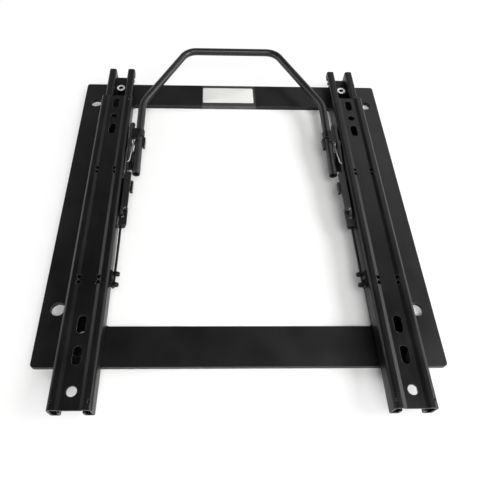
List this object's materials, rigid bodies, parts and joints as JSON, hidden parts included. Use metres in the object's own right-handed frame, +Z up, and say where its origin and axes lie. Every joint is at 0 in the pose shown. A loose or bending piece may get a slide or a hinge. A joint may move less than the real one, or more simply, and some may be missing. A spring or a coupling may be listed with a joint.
{
  "type": "seat slide rail",
  "caption": "Pair of black steel seat slide rails on a flat bolt-down base frame, with a U-shaped lift handle that releases the locks on both sides.",
  "frame": {"origin": "centre of the four floor-bolt holes, on the underside of the base plate", "axes": "+X to the right, +Y to the front of the seat, +Z up"},
  "size_m": [0.44, 0.5436, 0.0382],
  "materials": {
    "black_plate": "satin black paint",
    "black_rail": "semi-gloss black paint",
    "black_tube": "semi-gloss black paint",
    "black_hardware": "black oxide",
    "zinc": "bright zinc plate",
    "bearing_steel": "polished",
    "cage_nylon": "natural nylon"
  },
  "bodies": {
    "base": {"base_plate": "black_plate", "lower_rail_left": "black_rail", "lower_rail_right": "black_rail", "rail_bolts_left": "zinc", "rail_bolts_right": "zinc"},
    "carriage": {"upper_rail_left": "black_rail", "upper_rail_right": "black_rail", "pivot_pin_left": "black_hardware", "pivot_pin_right": "black_hardware", "latch_spring_left": "black_hardware", "latch_spring_right": "black_hardware", "spring_bracket_left": "black_hardware", "spring_bracket_right": "black_hardware", "bracket_rivets_left": "black_hardware", "bracket_rivets_right": "black_hardware"},
    "handle": {"release_handle": "black_tube", "latch_lever_left": "black_hardware", "latch_lever_right": "black_hardware", "tube_strap_left": "black_hardware", "tube_strap_right": "black_hardware", "pivot_bush_left": "black_hardware", "pivot_bush_right": "black_hardware", "lever_stud_left": "black_hardware", "lever_stud_right": "black_hardware", "return_spring_left": "zinc", "return_spring_right": "zinc"},
    "ball_train_left": {"ball_cages_left": "cage_nylon", "slide_balls_left": "bearing_steel"},
    "ball_train_right": {"ball_cages_right": "cage_nylon", "slide_balls_right": "bearing_steel"}
  },
  "joints": [
    {"name": "seat_slide", "type": "slide", "parent": "base", "child": "carriage", "axis": [0, 1, 0], "range_m": [-0.04, 0.15]},
    {"name": "ball_roll_left", "type": "slide", "parent": "base", "child": "ball_train_left", "axis": [0, 1, 0], "range_m": [-0.02, 0.075]},
    {"name": "ball_roll_right", "type": "slide", "parent": "base", "child": "ball_train_right", "axis": [0, 1, 0], "range_m": [-0.02, 0.075]},
    {"name": "handle_lift", "type": "hinge", "parent": "carriage", "child": "handle", "pos_m": [-0.1415, 0.07, 0.0225], "axis": [1, 0, 0], "range_deg": [-3, 2.4], "stiffness_Nm_per_rad": 2, "springref_deg": -3, "deforming": ["return_spring_left", "return_spring_right", "latch_spring_left", "latch_spring_right"]}
  ],
  "couplings": [
    {"joint": "ball_roll_left", "follows": "seat_slide", "ratio": 0.5},
    {"joint": "ball_roll_right", "follows": "seat_slide", "ratio": 0.5}
  ]
}
